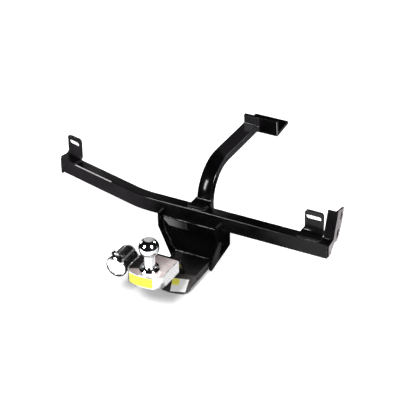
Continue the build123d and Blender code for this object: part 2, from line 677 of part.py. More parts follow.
spring_radius = 3.2
spring_wire = 0.5
spring_pitch = 1.9
spring_length = 9.5

with BuildPart() as lid_spring:
    with BuildLine() as coil:
        Helix(spring_pitch, spring_length, spring_radius, center=(socket_x - spring_length / 2, hinge_y, hinge_z),
              direction=(1, 0, 0))
    with BuildSketch(Plane(origin=coil.line @ 0, z_dir=coil.line % 0)):
        Circle(spring_wire)
    sweep(is_frenet=True)
lid_spring.part.label = "lid_spring"
export_step(lid_spring.part, "parts/lid_spring.step")
print("least gap between the spring's turns", round(spring_pitch - 2 * spring_wire, 2))
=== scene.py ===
"""Looks of the trailer hitch: materials, weld beads, blank labels, lights and camera.

The frame is that of the CAD part: the origin is the centre of the coupling ball, X runs right
along the crossbar, Y forward to the vehicle and Z up. The scene is in metres. Sizes of the part,
the lines of the beads and the corners of the labels are in millimetres and are scaled by MM.
"""

import json
import math
from functools import partial

import bmesh
import bpy
import numpy as np
from mathutils import Matrix, Vector


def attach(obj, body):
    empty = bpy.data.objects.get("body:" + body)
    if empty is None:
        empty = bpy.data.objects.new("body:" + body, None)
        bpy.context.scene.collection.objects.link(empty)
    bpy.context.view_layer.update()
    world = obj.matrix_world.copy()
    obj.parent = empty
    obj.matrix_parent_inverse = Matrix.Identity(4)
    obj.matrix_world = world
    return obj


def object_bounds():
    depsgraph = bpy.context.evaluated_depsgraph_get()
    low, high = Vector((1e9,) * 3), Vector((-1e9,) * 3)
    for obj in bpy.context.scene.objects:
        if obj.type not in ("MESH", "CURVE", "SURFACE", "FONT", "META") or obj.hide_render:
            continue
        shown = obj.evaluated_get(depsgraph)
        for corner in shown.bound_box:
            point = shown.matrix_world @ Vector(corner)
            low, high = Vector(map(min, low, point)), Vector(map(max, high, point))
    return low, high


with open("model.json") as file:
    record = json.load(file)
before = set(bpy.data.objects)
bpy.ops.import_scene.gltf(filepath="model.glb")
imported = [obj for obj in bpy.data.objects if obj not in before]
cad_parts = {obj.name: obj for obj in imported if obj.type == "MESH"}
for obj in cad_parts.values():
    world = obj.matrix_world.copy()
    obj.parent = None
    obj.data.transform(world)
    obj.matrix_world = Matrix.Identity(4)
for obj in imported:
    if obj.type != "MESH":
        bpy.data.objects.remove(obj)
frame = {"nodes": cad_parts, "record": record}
cad_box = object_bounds()
nodes = frame["nodes"]
scene = bpy.context.scene
MM = 0.001


# Sizes of the CAD part that the looks follow, in millimetres
SHEET = 6.0
BAR_FRONT = 200.0
BAR_BACK = 230.0
BAR_TOP = -3.4
BAR_LOW = -43.4
BAR_RIGHT = 364.8
BAR_BEND = -141.0
WING_LENGTH = 273.7
WING_TURN = math.radians(14.5)
WING_BRACKET_RIGHT = 46.0   # along the wing
TAB_LEFT = 286.2
TAB_RIGHT = 342.2
TAB_FRONT = 203.0
FLANGE_RIGHT = 370.0
ARM_X = 14.6
ARM_HALF = 19.5
ARM_FRONT = 245.5
ARM_END = 504.4
ARM_LOW_SIDE = 65.0         # underside of the run that goes back
ARM_HIGH_SIDE = 85.0
FOOT_HALF = 21.0
FOOT_FRONT = 203.6
ANGLE_RIGHT = 89.4
SIDE_PLATE = 82.6           # outer faces of the carrier's side plates
SIDE_PLATE_TOP = -30.0
WEB_HALF = 75.5
REAR_PLATE_TOP = -28.0
REAR_PLATE_LOW = -85.0
TONGUE_TOP = -147.6
TONGUE_HALF = 48.5
TONGUE_FOLD = 139.0
NOSE_SLOPE = 0.554
NECK_END = 140.4
BAND_X = -7.75
BAND_FRONT = -28.8
BAND_RADIUS = 105.0
SOCKET_X = -85.0
SOCKET_Z = -72.3
SOCKET_RADIUS = 25.0
LID_FRONT = -14.0
LID_ROUND = 3.5             # radius of the lid's front edge


# Camera: fitted to the parallel edges of the object and to the ball in a 400 x 400 image
FOCAL_PIXELS = 1648.0
IMAGE_WIDTH = 400.0
VIEW_AZIMUTH = math.radians(28.38)
VIEW_ELEVATION = math.radians(31.42)
VIEW_ROLL = math.radians(-0.95)
BALL_PIXEL = (148.9, 247.5)
PIXELS_PER_MM = 0.428
SENSOR_MM = 36.0
NEAREST = 0.05
FARTHEST = 60


def make_camera():
    level_right = Vector((math.cos(VIEW_AZIMUTH), math.sin(VIEW_AZIMUTH), 0))
    forward = Vector((-math.sin(VIEW_AZIMUTH) * math.cos(VIEW_ELEVATION),
                      math.cos(VIEW_AZIMUTH) * math.cos(VIEW_ELEVATION),
                      -math.sin(VIEW_ELEVATION)))
    level_up = level_right.cross(forward)
    right = level_right * math.cos(VIEW_ROLL) + level_up * math.sin(VIEW_ROLL)
    up = level_up * math.cos(VIEW_ROLL) - level_right * math.sin(VIEW_ROLL)
    distance = FOCAL_PIXELS / PIXELS_PER_MM * MM
    middle = IMAGE_WIDTH / 2
    ball_right = (BALL_PIXEL[0] - middle) / FOCAL_PIXELS * distance
    ball_up = -(BALL_PIXEL[1] - middle) / FOCAL_PIXELS * distance
    place = -(right * ball_right + up * ball_up + forward * distance)
    data = bpy.data.cameras.new("photo_camera")
    data.sensor_width = SENSOR_MM
    data.lens = SENSOR_MM * FOCAL_PIXELS / IMAGE_WIDTH
    data.clip_start = NEAREST
    data.clip_end = FARTHEST
    camera = bpy.data.objects.new("photo_camera", data)
    turn = Matrix((right, up, -forward)).transposed()
    camera.matrix_world = Matrix.Translation(place) @ turn.to_4x4()
    scene.collection.objects.link(camera)
    scene.camera = camera


make_camera()
scene.view_settings.view_transform = "Standard"


# Shader nodes
class Nodes:
    """Short calls that add nodes to a shader tree. A source is an output or a constant."""

    def __init__(self, owner, clear=False):
        owner.use_nodes = True
        self.tree = owner.node_tree
        if clear:
            self.tree.nodes.clear()

    def add(self, kind):
        return self.tree.nodes.new(kind)

    def feed(self, socket, source):
        if isinstance(source, tuple):
            socket.default_value = (*source, 1.0)
        elif isinstance(source, (int, float)):
            socket.default_value = source
        else:
            self.tree.links.new(source, socket)

    def math(self, operation, first, second=0.0):
        node = self.add("ShaderNodeMath")
        node.operation = operation
        self.feed(node.inputs[0], first)
        self.feed(node.inputs[1], second)
        return node.outputs["Value"]

    def product(self, value, *factors):
        for factor in factors:
            value = self.math("MULTIPLY", value, factor)
        return value

    def larger(self, value, *others):
        for other in others:
            value = self.math("MAXIMUM", value, other)
        return value

    def above(self, value, limit):
        return self.math("GREATER_THAN", value, limit)

    def below(self, value, limit):
        return self.math("LESS_THAN", value, limit)

    def spread(self, value, low, high, from_low=0.3, from_high=0.7):
        node = self.add("ShaderNodeMapRange")
        limits = {"From Min": from_low, "From Max": from_high, "To Min": low, "To Max": high}
        for name, limit in limits.items():
            node.inputs[name].default_value = limit
        self.feed(node.inputs["Value"], value)
        return node.outputs["Result"]

    def growing(self, value, zero_at, one_at):
        """0 at one value and 1 at another, even between them and flat beyond them."""
        return self.spread(value, 0.0, 1.0, zero_at, one_at)

    def split(self, vector):
        node = self.add("ShaderNodeSeparateXYZ")
        self.feed(node.inputs["Vector"], vector)
        return node.outputs

    def mixed_shader(self, factor, first, second):
        node = self.add("ShaderNodeMixShader")
        for socket, source in zip(node.inputs, (factor, first, second)):
            self.feed(socket, source)
        return node.outputs["Shader"]

    def seen_rays(self):
        """1 for camera, glossy and transmission rays, and 0 for the rest."""
        path = self.add("ShaderNodeLightPath").outputs
        return self.larger(path["Is Camera Ray"], path["Is Glossy Ray"], path["Is Transmission Ray"])


class Surface(Nodes):
    """A material with a Principled shader."""

    def __init__(self, name, **constants):
        self.material = bpy.data.materials.new(name)
        super().__init__(self.material)
        self.inputs = self.tree.nodes["Principled BSDF"].inputs
        for socket, value in constants.items():
            self.inputs[socket.replace("_", " ")].default_value = value
        coordinates = self.add("ShaderNodeTexCoord").outputs
        self.place = coordinates["Object"]
        self.normal = coordinates["Normal"]

    def stretched(self, scale):
        mapping = self.add("ShaderNodeMapping")
        mapping.inputs["Scale"].default_value = scale
        self.feed(mapping.inputs["Vector"], self.place)
        return mapping.outputs["Vector"]

    def noise(self, scale, detail=3.0, vector=None):
        node = self.add("ShaderNodeTexNoise")
        node.inputs["Scale"].default_value = scale
        node.inputs["Detail"].default_value = detail
        self.feed(node.inputs["Vector"], vector or self.place)
        return node.outputs["Fac"]

    def cells(self, scale):
        node = self.add("ShaderNodeTexVoronoi")
        node.inputs["Scale"].default_value = scale
        self.feed(node.inputs["Vector"], self.place)
        return node.outputs["Distance"]

    def tones(self, value, first, second, first_at=0.3, second_at=0.7):
        """A blend of two colours, with where on the value's scale each of them is reached."""
        node = self.add("ShaderNodeValToRGB")
        stops = ((first_at, first), (second_at, second))
        for element, (position, color) in zip(node.color_ramp.elements, stops):
            element.position = position
            element.color = (*color, 1.0)
        self.feed(node.inputs["Fac"], value)
        return node.outputs["Color"]

    def mix(self, factor, first, second):
        node = self.add("ShaderNodeMix")
        node.data_type = "RGBA"
        self.feed(node.inputs["Factor"], factor)
        self.feed(node.inputs["A"], first)
        self.feed(node.inputs["B"], second)
        return node.outputs["Result"]

    def axis(self, name):
        """The place along an axis of the part at rest, in metres."""
        return self.split(self.place)[name]

    def facing(self, name):
        """How far the surface faces along an axis of the part at rest."""
        return self.split(self.normal)[name]

    def color(self, value):
        self.feed(self.inputs["Base Color"], value)

    def metallic(self, value):
        self.feed(self.inputs["Metallic"], value)

    def roughness(self, value):
        self.feed(self.inputs["Roughness"], value)

    def bump(self, *layers):
        """Bumps on each other: (height, strength, distance in metres)."""
        normal = None
        for height, strength, distance in layers:
            node = self.add("ShaderNodeBump")
            node.inputs["Strength"].default_value = strength
            node.inputs["Distance"].default_value = distance
            self.feed(node.inputs["Height"], height)
            if normal:
                self.feed(node.inputs["Normal"], normal)
            normal = node.outputs["Normal"]
        self.feed(self.inputs["Normal"], normal)


# Black paint. A pair of places gives, in metres, where a tone is absent and where it is full.
# A limit on how far a face turns to an axis is a share of facing it squarely.
PAINT = {"Specular_IOR_Level": 0.2, "IOR": 1.5}
PAINT_DARK = (0.0012, 0.0011, 0.0012)
PAINT_LIGHT = (0.0034, 0.0031, 0.0032)
# Painted sheen: a grey film towards the ends of the part, less on faces turned up, stands in for reflected
# light.
PAINTED_SHEEN = (0.019, 0.0172, 0.0197)
SHEEN_LEFT = (-0.08, -0.17)
SHEEN_RIGHT = (0.22, 0.34)
SHEEN_ON_RIGHT = 0.22
# Painted light: faces turned right are lighter, as if lit from the right.
PAINTED_SIDE_LIGHT = (0.050, 0.047, 0.052)
SIDE_LIGHT_HIGH = (0.045, 0.07)
SIDE_LIGHT_LOW = (0.01, -0.005)
TURNED_RIGHT = 0.7


def paint_layers(surface, low_gloss=0.10, high_gloss=0.22, forms=()):
    """Gloss black paint: clouds, specks, a sprayed texture, a painted sheen towards the ends and painted
    light high on right sides.
    """
    clouds = surface.noise(14, 4)
    peel = surface.noise(900, 2)
    specks = surface.tones(surface.cells(260), PAINT_LIGHT, PAINT_DARK, 0.0, 0.06)
    plain = surface.tones(clouds, PAINT_DARK, PAINT_LIGHT, 0.35, 0.75)
    speckled = surface.mix(surface.growing(surface.noise(70, 2), 0.55, 0.7), plain, specks)
    along = surface.axis("X")
    # A painted sheen: grey towards both ends, less on faces turned up.
    ends = surface.larger(surface.growing(along, *SHEEN_LEFT),
                          surface.spread(along, 0.0, SHEEN_ON_RIGHT, *SHEEN_RIGHT))
    patchy = surface.spread(surface.noise(24, 4), 0.75, 1.05)
    less_on_top = surface.spread(surface.facing("Z"), 1.0, 0.05, 0.3, 0.9)
    film = surface.product(ends, patchy, less_on_top)
    # Painted light on faces turned right, high up.
    high_side = surface.product(surface.above(surface.facing("X"), TURNED_RIGHT),
                                surface.growing(surface.axis("Z"), *SIDE_LIGHT_HIGH))
    gloss = surface.spread(clouds, low_gloss, high_gloss)
    surface.bump(*forms, (peel, 0.05, 0.0004), (surface.noise(55, 2), 0.06, 0.0012))
    return surface.mix(high_side, surface.mix(film, speckled, PAINTED_SHEEN), PAINTED_SIDE_LIGHT), gloss


def black_paint():
    surface = Surface("black_paint_gloss", **PAINT)
    tone, gloss = paint_layers(surface)
    surface.color(tone)
    surface.roughness(gloss)
    return surface.material


# Painted highlight: a pale line along the wing's rounded front top edge.
PAINTED_EDGE_HIGHLIGHT = (0.42, 0.40, 0.41)
EDGE_HIGHLIGHT_RIGHT = -0.235
ROUNDED_EDGE = (0.35, 0.93)     # between the front and the top, by how far it turns up


def crossbar_paint():
    """The same paint, with a painted highlight along the front top edge of the bent wing."""
    surface = Surface("black_paint_painted_edge_highlight", **PAINT)
    tone, gloss = paint_layers(surface)
    rise = surface.facing("Z")
    edge = surface.product(surface.above(rise, ROUNDED_EDGE[0]), surface.below(rise, ROUNDED_EDGE[1]))
    front = surface.below(surface.facing("Y"), -0.2)
    far_left = surface.below(surface.axis("X"), EDGE_HIGHLIGHT_RIGHT)
    # A painted highlight on the rounded front top edge, at the far left.
    surface.color(surface.mix(surface.product(edge, front, far_left), tone, PAINTED_EDGE_HIGHLIGHT))
    surface.roughness(gloss)
    return surface.material


ARM_CROWN_RADIUS = 0.045
ARM_BEND_START = (-0.04, 0.01)
ARM_BEND_END = (0.08, 0.035)
ARM_TOP_LEAN = 0.85
ARM_TOP_START = (0.346, 0.362)
# Painted reflection: the run of the arm that goes back is greyer.
ARM_TOP_PAINTED_REFLECTION = (0.0100, 0.0090, 0.0105)


def arm_paint():
    """The same paint on the arm, whose broad faces bulge a little in the bend.

    The run that goes back is greyer on top, a painted reflection, and the right side has painted light
    above and below the bend.
    """
    surface = Surface("black_paint_arm", **PAINT)
    rise = surface.axis("Z")
    across = surface.math("SUBTRACT", surface.axis("X"), ARM_X * MM)
    crown = surface.product(across, across, -1 / (2 * ARM_CROWN_RADIUS))
    bent = surface.product(surface.growing(rise, *ARM_BEND_START), surface.growing(rise, *ARM_BEND_END))
    tone, gloss = paint_layers(surface, forms=((surface.product(crown, bent), 1.0, 1.0),))
    # Painted reflection on the run that goes back.
    lean = surface.math("ADD", surface.axis("Y"), surface.product(surface.axis("X"), ARM_TOP_LEAN))
    tone = surface.mix(surface.growing(lean, *ARM_TOP_START), tone, ARM_TOP_PAINTED_REFLECTION)
    # Painted light on the right side, above and below the bend.
    side = surface.above(surface.facing("X"), TURNED_RIGHT)
    side_lit = surface.larger(surface.growing(rise, *SIDE_LIGHT_HIGH), surface.growing(rise, *SIDE_LIGHT_LOW))
    surface.color(surface.mix(surface.product(side, side_lit), tone, PAINTED_SIDE_LIGHT))
    surface.roughness(gloss)
    return surface.material


# Painted reflection: a pale patch high on the left of the web, cut off below by a slanted line.
WEB_PAINTED_REFLECTION = (0.165, 0.16, 0.165)
PATCH_RIGHT = -0.0085
PATCH_LOW = -0.0705
PATCH_SLANT = 1.28
PATCH_SLANT_LOW = -0.1473
PATCH_FADE = (-0.066, -0.02)


def web_paint():
    """The same paint with a painted reflection: a pale patch high on the left of the web."""
    surface = Surface("black_paint_web", **PAINT)
    tone, gloss = paint_layers(surface)
    left = surface.below(surface.axis("X"), PATCH_RIGHT)
    high = surface.above(surface.axis("Z"), PATCH_LOW)
    slant = surface.math("ADD", surface.axis("Z"), surface.product(surface.axis("X"), PATCH_SLANT))
    inside = surface.above(slant, PATCH_SLANT_LOW)
    fade = surface.spread(surface.axis("X"), 1.0, 0.10, *PATCH_FADE)
    # The pale patch is a painted reflection.
    surface.color(surface.mix(surface.product(left, high, fade, inside), tone, WEB_PAINTED_REFLECTION))
    surface.roughness(gloss)
    return surface.material


PALE_FACE_DARK = (0.32, 0.285, 0.30)
PALE_FACE_LIGHT = (0.42, 0.39, 0.40)


def end_bracket_paint():
    """The same paint, with the bolted outer face of the end flange pale grey and rougher."""
    surface = Surface("black_paint_pale_flange_face", **PAINT)
    tone, gloss = paint_layers(surface)
    bare = surface.product(surface.above(surface.facing("X"), 0.9),
                           surface.above(surface.axis("X"), (FLANGE_RIGHT - 0.5) * MM))
    pale_tone = surface.tones(surface.noise(60, 4), PALE_FACE_DARK, PALE_FACE_LIGHT)
    surface.color(surface.mix(bare, tone, pale_tone))
    surface.roughness(surface.math("ADD", gloss, surface.product(bare, 0.3)))
    return surface.material


# Painted highlight: a pale line down the upright's right front edge.
ANGLE_PAINTED_HIGHLIGHT = (0.24, 0.235, 0.24)
ANGLE_EDGE_LOW = 0.0655
OVER_ARM = (0.0165, 0.015, 0.017)
OVER_ARM_LEFT = -0.006
OVER_ARM_RIGHT = 0.040


def angle_paint():
    """The same paint, greyer above the arm, with a painted highlight down the upright's right front edge.
    """
    surface = Surface("black_paint_rear_angle", **PAINT)
    tone, gloss = paint_layers(surface)
    front = surface.below(surface.facing("Y"), -0.5)
    along = surface.axis("X")
    at_edge = surface.product(surface.above(along, (ANGLE_RIGHT - 1.6) * MM),
                              surface.above(surface.axis("Z"), ANGLE_EDGE_LOW))
    over_arm = surface.product(surface.below(along, OVER_ARM_RIGHT), surface.above(along, OVER_ARM_LEFT))
    tone = surface.mix(surface.product(front, over_arm), tone, OVER_ARM)
    # The pale line down the right front edge is a painted highlight.
    surface.color(surface.mix(surface.product(front, at_edge), tone, ANGLE_PAINTED_HIGHLIGHT))
    surface.roughness(gloss)
    return surface.material


# Painted sheen on the nose's slope and painted light on the right wall.
NOSE_PAINTED_SHEEN = (0.085, 0.079, 0.075)
NOSE_START = (0.140, 0.134)
NOSE_SHEEN_RIGHT = (-0.03, 0.05)
WALL_PAINTED_LIGHT = (0.060, 0.056, 0.057)


def tongue_paint():
    """The same paint, with a painted sheen on the slope of the nose, brighter to the right, and painted
    light on the right wall.
    """
    surface = Surface("black_paint_painted_nose_sheen", **PAINT)
    tone, gloss = paint_layers(surface)
    nose = surface.growing(surface.axis("Y"), *NOSE_START)
    right = surface.spread(surface.axis("X"), 0.25, 1.0, *NOSE_SHEEN_RIGHT)
    patchy = surface.spread(surface.noise(40, 4), 0.6, 1.0)
    # Painted sheen on the nose, painted light on the wall turned right.
    on_nose = surface.product(nose, right, patchy)
    on_wall = surface.product(surface.above(surface.facing("X"), 0.8), patchy)
    surface.color(surface.mix(on_wall, surface.mix(on_nose, tone, NOSE_PAINTED_SHEEN), WALL_PAINTED_LIGHT))
    surface.roughness(surface.math("ADD", gloss, surface.product(on_nose, 0.25)))
    return surface.material


def weld_paint():
    """The same paint, glossier on the beads."""
    surface = Surface("black_paint_on_weld", IOR=1.5, Specular_IOR_Level=0.5)
    tone, gloss = paint_layers(surface, 0.05, 0.10)
    surface.color(tone)
    surface.roughness(gloss)
    return surface.material


# Chrome and bare metals
CHROME = ((0.80, 0.80, 0.83), (0.90, 0.90, 0.91))
LID_CHROME = ((0.74, 0.74, 0.76), (0.92, 0.92, 0.92))
LID_RIM = (0.006, 0.006, 0.006)
LID_FACE_RADIUS = 0.0252
LID_CROWN_RADIUS = 0.0205
LID_CROWN_SLOPE = 0.32
DULL_CAP = ((0.26, 0.26, 0.27), (0.46, 0.46, 0.47))
CAP_LOW = 0.018
CAP_TURNED_UP = 0.985


def lid_chrome():
    """Bright face with a black rim, split by the distance from the socket's axis."""
    surface = Surface("lid_chrome_black_rim")
    across = surface.math("SUBTRACT", surface.axis("X"), SOCKET_X * MM)
    rise = surface.math("SUBTRACT", surface.axis("Z"), SOCKET_Z * MM)
    squares = surface.math("ADD", surface.product(across, across), surface.product(rise, rise))
    away = surface.math("SQRT", squares)
    front = surface.below(surface.axis("Y"), (LID_FRONT + LID_ROUND) * MM)
    face = surface.product(surface.below(away, LID_FACE_RADIUS), front)
    clouds = surface.noise(55, 4)
    surface.color(surface.mix(face, LID_RIM, surface.tones(clouds, *LID_CHROME)))
    surface.metallic(face)
    surface.roughness(surface.spread(clouds, 0.08, 0.22))
    outer = surface.larger(surface.math("SUBTRACT", away, LID_CROWN_RADIUS), 0.0)
    surface.bump((surface.product(outer, -LID_CROWN_SLOPE), 1.0, 1.0), (surface.noise(70, 2), 0.12, 0.001))
    return surface.material


def chrome_layers(surface):
    """Mirror chrome with faint clouds: sets its bumps and gives its tone and roughness."""
    surface.bump((surface.noise(40, 1), 0.06, 0.001))
    return surface.tones(surface.noise(30), *CHROME), surface.spread(surface.noise(45, 4), 0.02, 0.09)


def chrome():
    surface = Surface("mirror_chrome", Metallic=1.0)
    tone, gloss = chrome_layers(surface)
    surface.color(tone)
    surface.roughness(gloss)
    return surface.material


def ball_chrome():
    """Mirror chrome, dull and grey on the ball's flat cap."""
    surface = Surface("mirror_chrome_dull_cap")
    tone, gloss = chrome_layers(surface)
    cap = surface.product(surface.above(surface.facing("Z"), CAP_TURNED_UP),
                          surface.above(surface.axis("Z"), CAP_LOW))
    surface.color(surface.mix(cap, tone, surface.tones(surface.noise(160, 4), *DULL_CAP, 0.35, 0.65)))
    surface.metallic(surface.math("SUBTRACT", 1.0, surface.product(cap, 0.8)))
    surface.roughness(surface.math("ADD", gloss, surface.product(cap, 0.3)))
    return surface.material


def bright_band():
    """Bright sheet with fine lines along the band."""
    surface = Surface("bright_band_steel", Metallic=0.85)
    lines = surface.noise(1.0, 2, surface.stretched((60, 60, 2600)))
    surface.color(surface.tones(lines, (0.88, 0.87, 0.87), (0.97, 0.96, 0.96)))
    surface.roughness(surface.spread(lines, 0.20, 0.34))
    surface.bump((lines, 0.08, 0.0003))
    return surface.material


COVER_WARM = ((0.74, 0.62, 0.61), (0.95, 0.84, 0.82))
# Painted shade: browner to the left and dark towards the socket.
COVER_SHADE_BROWN = (0.24, 0.17, 0.16)
COVER_PAINTED_SHADE = (0.010, 0.008, 0.008)
COVER_SLANT = 0.5
SHADE_BACK = (0.010, 0.016)
SHADE_LEFT = (-0.012, -0.024)
SHADE_BROWN_SPREAD = (-0.03, 0.01)


def satin_cover():
    """Rolled sheet with a warm satin tone and painted shade: browner to the left and dark towards the
    socket.
    """
    surface = Surface("satin_cover_steel", Metallic=0.5)
    grain = surface.noise(1.0, 3, surface.stretched((40, 1500, 40)))
    clouds = surface.noise(22, 4)
    across = surface.axis("X")
    slant = surface.math("SUBTRACT", surface.axis("Y"), surface.product(across, COVER_SLANT))
    # Painted shade towards the socket and to the left.
    painted_shade = surface.product(surface.growing(slant, *SHADE_BACK), surface.growing(across, *SHADE_LEFT))
    shade_brown = surface.spread(across, 0.6, 0.0, *SHADE_BROWN_SPREAD)
    tone = surface.mix(shade_brown, surface.tones(clouds, *COVER_WARM), COVER_SHADE_BROWN)
    surface.color(surface.mix(painted_shade, tone, COVER_PAINTED_SHADE))
    surface.roughness(surface.spread(grain, 0.24, 0.42))
    surface.bump((grain, 0.05, 0.0003), (clouds, 0.04, 0.0008))
    return surface.material


def zinc_plate():
    surface = Surface("zinc_plated_steel", Metallic=0.95)
    surface.color(surface.tones(surface.cells(150), (0.52, 0.52, 0.50), (0.70, 0.70, 0.67), 0.1, 0.6))
    surface.roughness(surface.spread(surface.noise(90), 0.25, 0.45))
    surface.bump((surface.noise(300), 0.05, 0.0003))
    return surface.material


def brass():
    surface = Surface("plain_brass", Metallic=1.0)
    surface.color(surface.tones(surface.noise(120), (0.60, 0.40, 0.17), (0.80, 0.58, 0.27)))
    surface.roughness(surface.spread(surface.noise(200), 0.2, 0.4))
    return surface.material


# Plastic, rubber and film
def black_plastic():
    surface = Surface("black_moulded_plastic", Specular_IOR_Level=0.2)
    surface.color(surface.tones(surface.noise(50), (0.004, 0.004, 0.004), (0.012, 0.012, 0.012)))
    surface.roughness(surface.spread(surface.noise(120), 0.10, 0.20))
    surface.bump((surface.noise(1800, 2), 0.05, 0.0003))
    return surface.material


def rubber():
    surface = Surface("black_rubber", Specular_IOR_Level=0.3)
    surface.color(surface.tones(surface.noise(80), (0.008, 0.008, 0.008), (0.022, 0.021, 0.021)))
    surface.roughness(surface.spread(surface.noise(60), 0.6, 0.8))
    surface.bump((surface.noise(900), 0.15, 0.0004))
    return surface.material


def label_film(name, first, second):
    """Plain film: two close tones and slightly lifted clouds."""
    surface = Surface(name, Specular_IOR_Level=0.4)
    surface.color(surface.tones(surface.noise(45), first, second))
    surface.roughness(surface.spread(surface.noise(150), 0.35, 0.5))
    surface.bump((surface.noise(90), 0.08, 0.0003))
    return surface.material


slot_finishes = {
    "black_paint": black_paint(),
    "chrome": chrome(),
    "bright_steel": bright_band(),
    "satin_steel": satin_cover(),
    "zinc_steel": zinc_plate(),
    "black_plastic": black_plastic(),
    "rubber": rubber(),
    "brass": brass(),
}
own_finishes = {
    "right_end_bracket": end_bracket_paint(),
    "tongue": tongue_paint(),
    "crossbar": crossbar_paint(),
    "rear_arm": arm_paint(),
    "carrier_web": web_paint(),
    "rear_angle": angle_paint(),
    "hitch_ball": ball_chrome(),
    "socket_lid": lid_chrome(),
}
weld_finish = weld_paint()
yellow_film = label_film("blank_yellow_film", (0.68, 0.65, 0.03), (0.76, 0.73, 0.055))
strip_film = label_film("blank_strip_film", (0.95, 0.92, 0.10), (1.0, 0.97, 0.18))
white_film = label_film("blank_white_film", (0.95, 0.95, 0.94), (1.0, 1.0, 0.99))

for part in frame["record"]["subparts"]:
    materials = nodes[part["node"]].data.materials
    materials.clear()
    materials.append(own_finishes.get(part["node"], slot_finishes[part["material_slot"]]))


# Rounded edges
EDGE_ANGLE = math.radians(32)
SAME_POINT = 1e-6
SHEET_EDGE = 0.7 * MM
THIN_SHEET_EDGE = 0.4 * MM
NUT_EDGE = 0.5 * MM
SHEET_NODES = ("left_end_plate", "left_bracket", "right_tab_bracket", "right_end_bracket",
               "arm_foot_plate", "rear_angle", "carrier_left_plate", "carrier_right_plate",
               "carrier_web", "carrier_rear_plate", "tongue", "ball_plate")


def bevel(obj, width, segments=2):
    weld = obj.modifiers.new("joined_corners", "WELD")
    weld.merge_threshold = SAME_POINT
    rounded = obj.modifiers.new("rounded_edges", "BEVEL")
    rounded.width = width
    rounded.segments = segments
    rounded.limit_method = "ANGLE"
    rounded.angle_limit = EDGE_ANGLE
    rounded.harden_normals = True
    rounded.use_clamp_overlap = True


for name in SHEET_NODES:
    bevel(nodes[name], SHEET_EDGE)
for name in ("platform_band", "socket_bracket"):
    bevel(nodes[name], THIN_SHEET_EDGE)
bevel(nodes["ball_nut"], NUT_EDGE)


# Pieces made in this scene
def new_piece(name, mesh, finish, body):
    mesh.materials.append(finish)
    piece = bpy.data.objects.new(name, mesh)
    scene.collection.objects.link(piece)
    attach(piece, body)
    return piece


def smooth_mesh(name, form):
    """A mesh from a bmesh, with its normals outward and its faces smooth."""
    bmesh.ops.recalc_face_normals(form, faces=form.faces)
    mesh = bpy.data.meshes.new(name)
    form.to_mesh(mesh)
    form.free()
    for face in mesh.polygons:
        face.use_smooth = True
    return mesh


def tube(name, stations, closed=False):
    """A mesh through rings of points, capped at both ends unless it closes on itself."""
    form = bmesh.new()
    rings = [[form.verts.new(point) for point in ring] for ring in stations]
    count = len(rings[0])
    pairs = list(zip(rings, rings[1:]))
    if closed:
        pairs.append((rings[-1], rings[0]))
    for first, second in pairs:
        for n in range(count):
            m = (n + 1) % count
            form.faces.new((first[n], first[m], second[m], second[n]))
    if not closed:
        form.faces.new(rings[0][::-1])
        form.faces.new(rings[-1])
    return smooth_mesh(name, form)


# Weld beads: an uneven rod along a line, half sunk in the corner that it fills
BEAD_SIDES = 14
BEAD_STEP = 0.5 * MM
FEWEST_STEPS = 6
FULLNESS = 0.97             # of the radius
RIPPLE = 0.022              # of the radius
RIPPLE_LENGTH = 3.4 * MM
WANDER_LENGTH = 5.2 * MM
SWELL = 0.13                # of the radius
SIDEWAYS = 0.30             # in millimetres
LIFT = 0.22                 # in millimetres
THINNEST_END = 0.06
OFF_AXIS = Vector((0.31, 0.22, 0.93))   # no bead runs along it
SEED_SHIFT = 7
welds = []


def eased(values, place):
    """A smooth line through values that stand one apart."""
    first, part = divmod(place, 1)
    blend = (1 - math.cos(math.pi * part)) / 2
    return values[int(first)] * (1 - blend) + values[int(first) + 1] * blend


def even_places(path, count, total, lengths):
    """Places at even steps along a line of straight runs."""
    places = []
    for n in range(count + 1):
        left = total * n / count
        run = 0
        while run < len(lengths) - 1 and left > lengths[run]:
            left -= lengths[run]
            run += 1
        places.append(path[run].lerp(path[run + 1], min(left / lengths[run], 1)))
    return places


def bead(points, radius, seed):
    """A weld bead along points given in millimetres: uneven swells with fine ripples on them."""
    path = [Vector(p) * MM for p in points]
    lengths = [(b - a).length for a, b in zip(path, path[1:])]
    total = sum(lengths)
    count = max(FEWEST_STEPS, round(total / BEAD_STEP))
    places = even_places(path, count, total, lengths)
    knots = int(total / WANDER_LENGTH) + 3
    generator = np.random.default_rng(seed + SEED_SHIFT)
    swell, sideways, lift = generator.normal(0, 1, (3, knots)).tolist()
    stations = []
    for n, place in enumerate(places):
        along = (places[min(n + 1, count)] - places[max(n - 1, 0)]).normalized()
        side = along.cross(OFF_AXIS).normalized()
        over = along.cross(side)
        travelled = total * n / count
        slow = travelled / WANDER_LENGTH
        ripple = RIPPLE * math.cos(2 * math.pi * travelled / RIPPLE_LENGTH)
        end = min(travelled, total - travelled) / (radius * MM)
        taper = math.sqrt(min(1, max(THINNEST_END, 1 - (1 - min(end, 1)) ** 2)))
        size = radius * MM * (FULLNESS + SWELL * eased(swell, slow) + ripple) * taper
        middle = place + (side * eased(sideways, slow) * SIDEWAYS + over * eased(lift, slow) * LIFT) * MM
        ring = []
        for m in range(BEAD_SIDES):
            turn = 2 * math.pi * m / BEAD_SIDES
            ring.append(middle + size * (math.cos(turn) * side + math.sin(turn) * over))
        stations.append(ring)
    name = f"weld_{len(welds) + 1:02d}"
    welds.append(new_piece(name, tube(name, stations), weld_finish, "hitch"))


def wing(along, back, rise):
    """A point on the bent wing: along the tube from its end, back from its front face, and up."""
    end_x = BAR_BEND - WING_LENGTH * math.cos(WING_TURN)
    end_y = BAR_FRONT + WING_LENGTH * math.sin(WING_TURN)
    return (end_x + along * math.cos(WING_TURN) + back * math.sin(WING_TURN),
            end_y - along * math.sin(WING_TURN) + back * math.cos(WING_TURN), rise)


